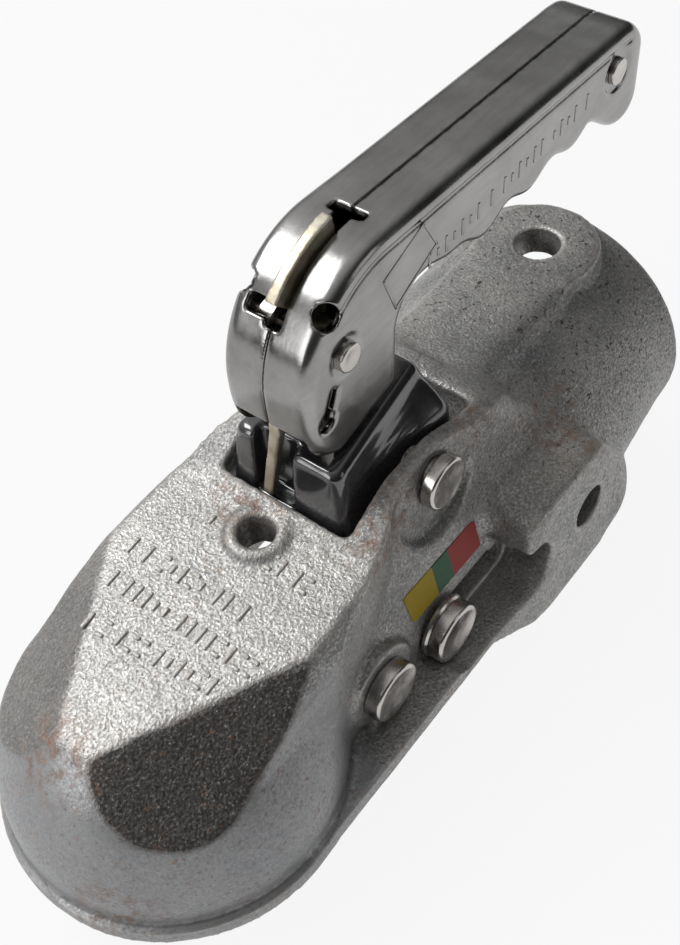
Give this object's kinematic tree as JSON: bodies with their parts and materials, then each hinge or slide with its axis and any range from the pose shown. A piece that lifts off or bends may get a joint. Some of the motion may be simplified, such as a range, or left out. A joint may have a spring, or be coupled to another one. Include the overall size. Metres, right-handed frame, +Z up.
{
  "type": "trailer coupling head",
  "caption": "Cast coupling head for a round drawbar: domed ball socket, sprung jaw, upright handle with thumb plate, side indicator pin and coloured wear fields.",
  "frame": {"origin": "centre of the towing ball when it is seated, on the axis of the drawbar socket", "axes": "+X back along the drawbar, +Z up away from the ball's neck, Y to the sides; the head of each side pin shown in the picture is on the -Y side"},
  "size_m": [0.2627, 0.1018, 0.1674],
  "materials": {
    "cast_zinc": "hot-dip zinc over a rough casting, satin, light rust in places",
    "bright_zinc": "bright zinc plating on pressed sheet",
    "pin_zinc": "turned and zinc plated, slightly dulled",
    "latch_zinc": "yellow passivated zinc, worn",
    "spring_steel": "dark drawn spring wire",
    "boot_black": "glossy soft black",
    "label_film": "printed film with a yellow, a green and a red field",
    "jaw_iron": "cast, greased"
  },
  "bodies": {
    "head": {"housing": "cast_zinc", "main_pivot_pin": "pin_zinc", "main_pin_ring": "spring_steel", "main_bush": "pin_zinc", "main_spring": "spring_steel", "jaw_pivot_pin": "pin_zinc", "jaw_pin_ring": "spring_steel", "dust_boot": "boot_black", "wear_label": "label_film"},
    "handle": {"handle_shell_left": "bright_zinc", "handle_shell_right": "bright_zinc", "lever_plate_left": "pin_zinc", "lever_plate_right": "pin_zinc", "tip_rivet": "pin_zinc", "tip_spacer": "pin_zinc", "latch_rivet": "pin_zinc", "latch_spacer_left": "pin_zinc", "latch_spacer_right": "pin_zinc", "latch_spring": "spring_steel"},
    "latch": {"latch_plate": "latch_zinc"},
    "indicator": {"indicator_pin": "pin_zinc", "indicator_washer_left": "bright_zinc", "indicator_washer_right": "bright_zinc", "lock_roller": "pin_zinc"},
    "jaw": {"ball_jaw": "jaw_iron", "jaw_spring": "spring_steel"}
  },
  "joints": [
    {"name": "handle_lift", "type": "hinge", "parent": "head", "child": "handle", "pos_m": [0.0857, 0, 0.0463], "axis": [0, -1, 0], "range_deg": [0, 34], "deforming": ["dust_boot"]},
    {"name": "indicator_slide", "type": "slide", "parent": "head", "child": "indicator", "axis": [1, 0, 0], "range_m": [0, 0.0284]},
    {"name": "jaw_swing", "type": "hinge", "parent": "head", "child": "jaw", "pos_m": [0.045, 0, 0.005], "axis": [0, -1, 0], "range_deg": [0, 30]},
    {"name": "latch_swing", "type": "hinge", "parent": "handle", "child": "latch", "pos_m": [0.0715, 0, 0.0968], "axis": [0, -1, 0], "range_deg": [0, 10]}
  ],
  "couplings": [
    {"joint": "indicator_slide", "follows": "handle_lift", "m_per_rad": 0.047859},
    {"joint": "jaw_swing", "follows": "handle_lift", "ratio": 0.88234},
    {"joint": "latch_swing", "follows": "handle_lift", "ratio": 0.29411}
  ]
}
